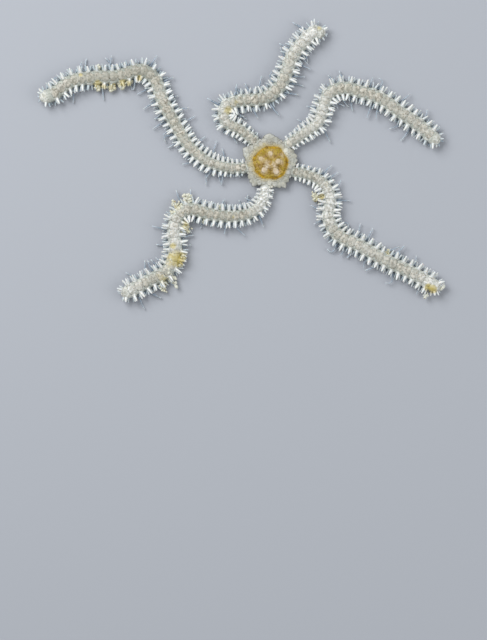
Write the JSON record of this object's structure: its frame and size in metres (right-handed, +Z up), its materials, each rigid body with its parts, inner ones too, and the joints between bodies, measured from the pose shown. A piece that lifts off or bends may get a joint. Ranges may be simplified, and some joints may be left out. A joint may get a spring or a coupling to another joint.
{
  "type": "brittle star",
  "caption": "Brittle star at life size, lying flat with its long spiny arms bent, a plated disc above and a jawed mouth below.",
  "frame": {"origin": "centre of the bounding box at floor level, under the animal; the disc's centre is 6.9 mm along +X from it", "axes": "+Z up from the floor through the back of the disc, +X along the longest reach of the arms, towards the right of the view from above"},
  "size_m": [0.1025, 0.0712, 0.0036],
  "materials": {
    "disc": "satin amber and cream plates with pale spots",
    "jaws": "satin pinkish cream",
    "arms": "satin greyish cream plates, white spines and clear bluish feet"
  },
  "bodies": {
    "root": {"disc": "disc", "jaw_1": "jaws", "jaw_2": "jaws", "jaw_3": "jaws", "jaw_4": "jaws", "jaw_5": "jaws", "arm_1_root": "arms", "arm_1_inner": "arms", "arm_1_outer": "arms", "arm_1_tip": "arms", "arm_2_root": "arms", "arm_2_inner": "arms", "arm_2_outer": "arms", "arm_2_tip": "arms", "arm_3_root": "arms", "arm_3_inner": "arms", "arm_3_outer": "arms", "arm_3_tip": "arms", "arm_4_root": "arms", "arm_4_inner": "arms", "arm_4_outer": "arms", "arm_4_tip": "arms", "arm_5_root": "arms", "arm_5_inner": "arms", "arm_5_outer": "arms", "arm_5_tip": "arms"}
  },
  "joints": []
}
